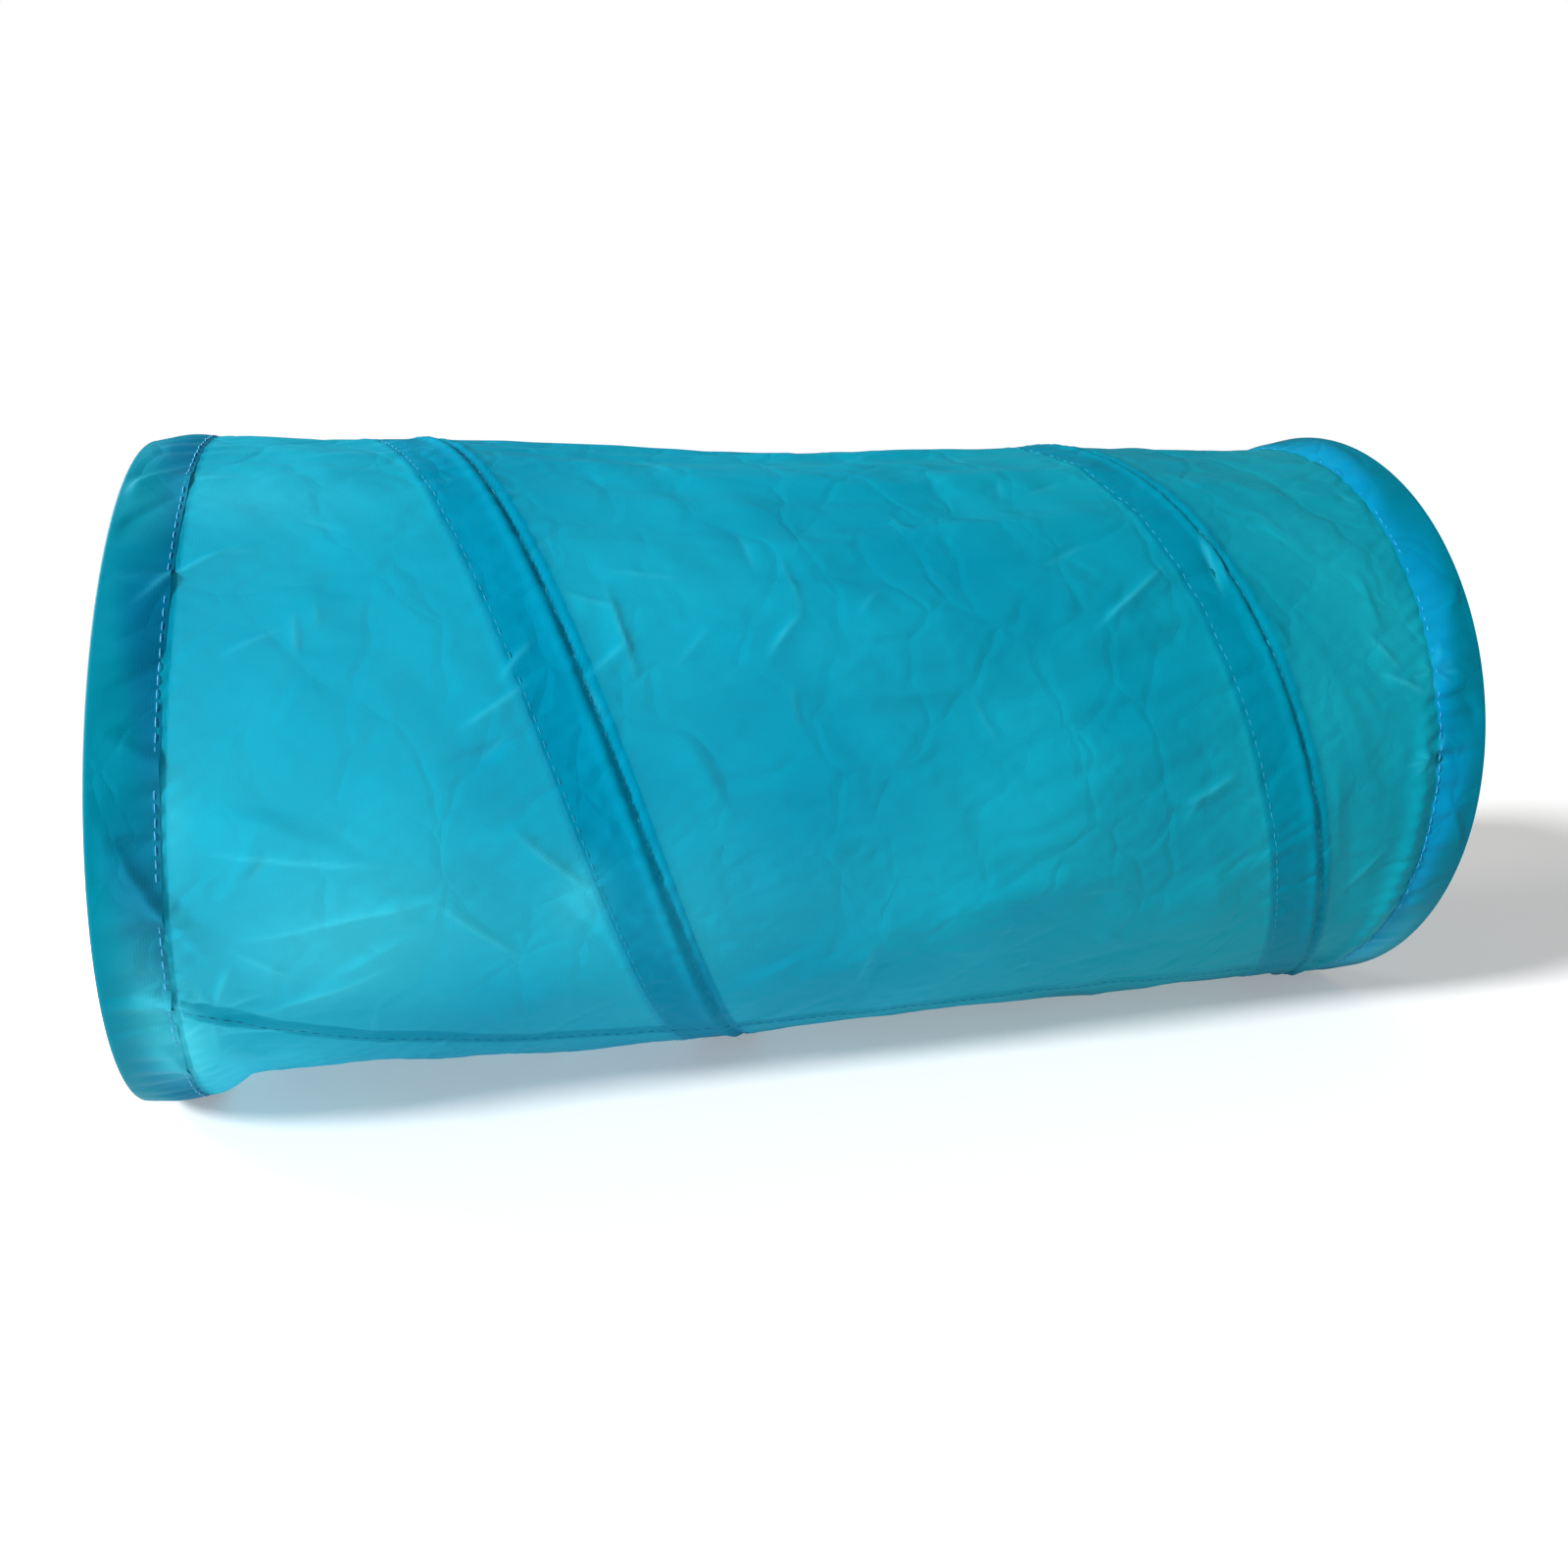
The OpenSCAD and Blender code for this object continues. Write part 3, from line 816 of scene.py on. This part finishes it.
def make_channel(cloth):
    front, rear = tape_edges(TAPE_ANGLES)
    line = coil_x(TAPE_ANGLES)
    columns = []
    depths = []
    under = 2 * WIRE_R + TAPE_DEPTH + 2 * PLY
    for share in np.linspace(0, 1, 7):
        columns.append(front + (line - TAPE_FOOT - front) * share)
        depths.append(TAPE_DEPTH + 0 * line)
    for offset, depth in ((-2.1, 0.6), (-1.3, 0.93), (0, 1.0), (1.3, 0.93), (2.1, 0.6)):
        columns.append(line + offset * MM)
        depths.append(under * depth + 0 * line)
    for share in np.linspace(0, 1, 4):
        columns.append(line + TAPE_FOOT + (rear - line - TAPE_FOOT) * share)
        depths.append(TAPE_DEPTH + 0 * line)
    x = np.stack(columns, -1)
    a = TAPE_ANGLES[:, None] + 0 * x
    points, _ = cloth.at(x, a, np.stack(depths, -1))
    uv = np.stack([np.radians(a) * CLOTH_R, x], -1)
    piece = add_mesh("channel_tape", points, grid_faces(*x.shape), TAPE_TAFFETA, uv, {"ply": 0 * x})
    return follow(piece, "front_end", "tape_cloth", "coil_channel")


def make_coil(cloth):
    line, out = cloth.at(coil_x(COIL_ANGLES), COIL_ANGLES, (WIRE_R + TAPE_DEPTH) + 0 * COIL_ANGLES)
    wire = tube("coil_spring_wire", line, out, WIRE_R, STEEL)
    follow(wire, "front_end", "spring_wire", "coil_wire")
    for name, ends, body, node in (
        ("coil_front_cap", slice(0, 4), "front_end", "coil_front_tip"),
        ("coil_rear_cap", slice(-4, None), "rear_end", "coil_rear_tip"),
    ):
        inner = line[ends] if body == "rear_end" else line[ends][::-1]
        way = unit(inner[-1] - inner[-2])
        nose = np.concatenate([inner, [inner[-1] + way * 0.8 * MM, inner[-1] + way * 1.5 * MM]])
        girth = np.array([0.96] + [1.0] * (len(nose) - 3) + [0.86, 0.45]) * (WIRE_R + 0.35 * MM)
        cap = tube(name, nose, out[:1] + 0 * nose, girth, VINYL)
        follow(cap, body, "tip_cap", node)
    return wire


def seam_ends():
    """Where the lengthwise seam starts and ends: just short of the two hems' stitches."""
    return front_seam(SEAM_ANGLE) + 2 * MM, rear_seam(SEAM_ANGLE) - 2 * MM


def make_seam(cloth):
    x = np.linspace(*seam_ends(), 160)
    middle = seam_line(x)
    half = math.degrees(ALLOWANCE_W / 2 / CLOTH_R)
    a = middle[:, None] + np.linspace(-half, half, 7)[None, :]
    grid = x[:, None] + 0 * a
    depth = 0.25 * MM + 0.1 * MM * np.abs(np.linspace(-1, 1, 7)) + 0 * a
    points, _ = cloth.at(grid, a, depth)
    uv = np.stack([grid, np.radians(a) * CLOTH_R], -1)
    piece = add_mesh("seam_edges", points, grid_faces(*a.shape), TAPE_TAFFETA, uv, {"ply": 0 * a})
    follow(piece, "front_end", "tape_cloth", "seam_allowance")
    line, out = cloth.at(x, middle + half * 0.4)
    thread = stitches("seam_stitches", line - out * 0.12 * MM, out, DYED_THREAD)
    follow(thread, "front_end", "thread", "seam_thread")
    return piece


def make_channel_stitches(cloth):
    """One row near the tape's front edge, and one close behind the wire."""
    front, rear = tape_edges(TAPE_ANGLES)
    line = coil_x(TAPE_ANGLES)
    rows = {"front": front + 2 * MM, "rear": np.minimum(line + 3.2 * MM, rear)}
    for name, x in rows.items():
        at, out = cloth.at(x, TAPE_ANGLES)
        thread = stitches(f"channel_stitches_{name}", at - out * 0.2 * MM, out, DYED_THREAD)
        follow(thread, "front_end", "thread", f"channel_thread_{name}")


# ---- Hoops and hems ----
def make_hoop(name, hoop, body, node):
    a = np.arange(0, 360, 1.5)
    wire = tube(name, hoop.point(a), np.array([[1.0, 0, 0]]) + 0 * a[:, None], WIRE_R, STEEL, closed=True)
    return follow(wire, body, "spring_wire", node)


def make_ferrule(name, hoop, body, node):
    """The crimped sleeve that joins the two ends of a hoop's wire."""
    share = np.linspace(-1, 1, 29)
    a = FERRULE_ANGLE + share * FERRULE_ARC / 2
    crimps = bell((np.abs(share) - 0.45) / 0.13)
    ends = smooth((1 - np.abs(share)) / 0.06)
    girth = WIRE_R + (FERRULE_R - WIRE_R) * (0.55 + 0.45 * ends) - 0.3 * MM * crimps
    ferrule = tube(name, hoop.point(a), np.array([[1.0, 0, 0]]) + 0 * a[:, None], girth, CRIMP, sides=20)
    return follow(ferrule, body, "ferrule", node)


def make_hem(name, cloth, hoop, body, node, seam, way, material):
    """The cloth folded around a hoop. way is 1 at the front and -1 at the rear."""
    a = cloth.a
    tuck = REAR_TUCK * rear_tuck(a) * (way < 0)
    edge, _ = cloth.at(seam(a), a, tuck - HEM_PROUD)
    centre = hoop.point(a)
    radial = unit(centre - hoop.middle)
    inward = unit(edge - centre - radial * np.sum((edge - centre) * radial, -1, keepdims=True))
    bead = (BEAD_R + FERRULE_BULGE * bell(wrap(a - FERRULE_ANGLE) / 5))[:, None]
    rows = []
    ply = []
    painted_highlight = []
    top = centre + radial * bead
    for t in np.linspace(0, 1, 20):
        x = edge[:, 0] + (top - edge)[:, 0] * t
        slack = 0.7 * MM * math.sin(math.pi * t) * hem_slack(a, t, way)
        height, paler = creased_cloth(x, a)
        slack = slack + height * float(smooth((1 - t) * 4))
        painted_highlight.append(paler)
        rows.append(edge + (top - edge) * t + radial * slack[:, None])
        # Painted shading: the outer ply's colour runs from the hem's thin colour at the stitches to its
        # double colour at the wire, in soft bands around the hem.
        ply.append(smooth(t * 1.3 - 0.1 + 0.25 * np.sin(np.radians(a) * 9 + 4 * t)))
    for turn in np.linspace(0, math.pi, 9)[1:]:
        rows.append(centre + radial * bead * math.cos(turn) - inward * bead * math.sin(turn))
    low = centre - radial * bead
    back, _ = cloth.at(seam(a) + way * INNER_PLY_PAST, a, tuck + INNER_PLY_DEPTH)
    for t in np.linspace(0, 1, 12)[1:]:
        rows.append(low + (back - low) * t)
    ply += [1 + 0 * a] * (len(rows) - len(ply))
    painted_highlight += [0 * a] * (len(rows) - len(painted_highlight))
    points = np.stack(rows)
    points[..., 2] = np.maximum(points[..., 2], FLOOR_GAP * 0.3)
    length = np.concatenate([[0], np.cumsum(np.linalg.norm(np.diff(points[:, 0], axis=0), axis=1))])
    uv = np.stack(np.broadcast_arrays(length[:, None], np.radians(a) * CLOTH_R), -1)
    faces = grid_faces(len(rows), TURNS, False, True)
    piece = add_mesh(name, points, faces, material, uv, {"ply": np.stack(ply), "painted_highlight": np.stack(painted_highlight)})
    follow(piece, body, "hem_cloth", node)
    return piece


def hem_slack(a, t, way):
    """How much a hem's outer ply bulges, from 0.3 to 1.7, with gathers at the stitch line."""
    pulls = 0.5 * np.sin(np.radians(a) * 7 + way) + 0.35 * np.sin(np.radians(a) * 17 + 2 * way)
    gathers = 0.8 * (1 - t) * np.sin(np.radians(a) * 61 + 3 * np.sin(np.radians(a) * 5))
    return 1 + pulls + gathers


def make_hem_stitches(name, cloth, seam, body, node, way, material):
    a = cloth.a
    at, out = cloth.at(seam(a), a, -0.25 * MM + 0 * a)
    thread = stitches(name, at - np.array([way * 1.5 * MM, 0, 0]), out, material, closed=True)
    return follow(thread, body, "thread", node)


def make_object():
    cloth = Cloth()
    sleeve = make_sleeve(cloth)
    channel = make_channel(cloth)
    coil = make_coil(cloth)
    seam_edges = make_seam(cloth)
    make_channel_stitches(cloth)
    make_hoop("front_hoop_wire", FRONT, "front_end", "front_hoop")
    make_hoop("rear_hoop_wire", REAR, "rear_end", "rear_hoop")
    front = make_hem("front_hem_cloth", cloth, FRONT, "front_end", "front_hem", front_seam, 1, FRONT_TAFFETA)
    rear = make_hem("rear_hem_cloth", cloth, REAR, "rear_end", "rear_hem", rear_seam, -1, REAR_TAFFETA)
    make_hem_stitches(
        "front_hem_stitches", cloth, front_seam, "front_end", "front_hem_thread", 1, PALE_THREAD
    )
    make_hem_stitches(
        "rear_hem_stitches", cloth, rear_seam, "rear_end", "rear_hem_thread", -1, BLUE_THREAD
    )
    make_ferrule("front_hoop_crimp", FRONT, "front_end", "front_hoop_ferrule")
    make_ferrule("rear_hoop_crimp", REAR, "rear_end", "rear_hoop_ferrule")


# ---- Studio ----
def make_camera():
    camera = bpy.data.objects.new("Camera", bpy.data.cameras.new("Camera"))
    camera.data.lens = 31.5
    camera.data.sensor_width = 36
    camera.location = (FRONT_X + 0.0776, -0.5753, 0.2300)
    turn = Euler((math.radians(90 - 11.68), 0, math.radians(-16.84)), "XYZ")
    camera.rotation_euler = turn
    bpy.context.scene.collection.objects.link(camera)
    bpy.context.scene.camera = camera


def add_light(name, place, aim, size, power, colour=(1, 1, 1)):
    lamp = bpy.data.lights.new(name, "AREA")
    lamp.shape = "RECTANGLE"
    lamp.size, lamp.size_y = size
    lamp.energy = power
    lamp.color = colour
    light = bpy.data.objects.new(name, lamp)
    light.location = place
    light.rotation_euler = (Vector(aim) - Vector(place)).to_track_quat("-Z", "Y").to_euler()
    bpy.context.scene.collection.objects.link(light)


def make_studio():
    material, _, _, shader, _ = new_material("Floor")
    shader.inputs["Base Color"].default_value = (0.7, 0.7, 0.7, 1)
    shader.inputs["Roughness"].default_value = 0.9
    shader.inputs["Emission Color"].default_value = (1, 1, 1, 1)
    shader.inputs["Emission Strength"].default_value = 0.3
    mesh = bpy.data.meshes.new("floor")
    half = 8.0
    corners = [(-half, -half, 0), (half, -half, 0), (half, half, 0), (-half, half, 0)]
    mesh.from_pydata(corners, [], [(0, 1, 2, 3)])
    mesh.materials.append(material)
    floor = bpy.data.objects.new("floor", mesh)
    bpy.context.scene.collection.objects.link(floor)
    world = bpy.data.worlds.new("Studio")
    world.use_nodes = True
    nodes = world.node_tree.nodes
    links = world.node_tree.links
    room = nodes["Background"]
    room.inputs[0].default_value = (1, 1, 1, 1)
    room.inputs[1].default_value = 0.3
    white = nodes.new("ShaderNodeBackground")
    white.inputs[0].default_value = (1, 1, 1, 1)
    ray = nodes.new("ShaderNodeLightPath")
    both = nodes.new("ShaderNodeMixShader")
    links.new(ray.outputs["Is Camera Ray"], both.inputs[0])
    links.new(room.outputs[0], both.inputs[1])
    links.new(white.outputs[0], both.inputs[2])
    links.new(both.outputs[0], nodes["World Output"].inputs[0])
    bpy.context.scene.world = world
    lamp = bpy.data.lights.new("Key", "SUN")
    lamp.energy = 5.2
    lamp.angle = math.radians(12)
    key = bpy.data.objects.new("Key", lamp)
    key.rotation_euler = Vector((0.85, 0.35, -0.5)).to_track_quat("-Z", "Y").to_euler()
    bpy.context.scene.collection.objects.link(key)
    add_light("Mouth", (-0.62, 0.22, 0.34), (-0.12, -0.11, 0.05), (0.3, 0.3), 6, (1, 0.96, 0.86))
    bpy.context.scene.view_settings.view_transform = "Standard"


make_camera()
make_object()
make_studio()
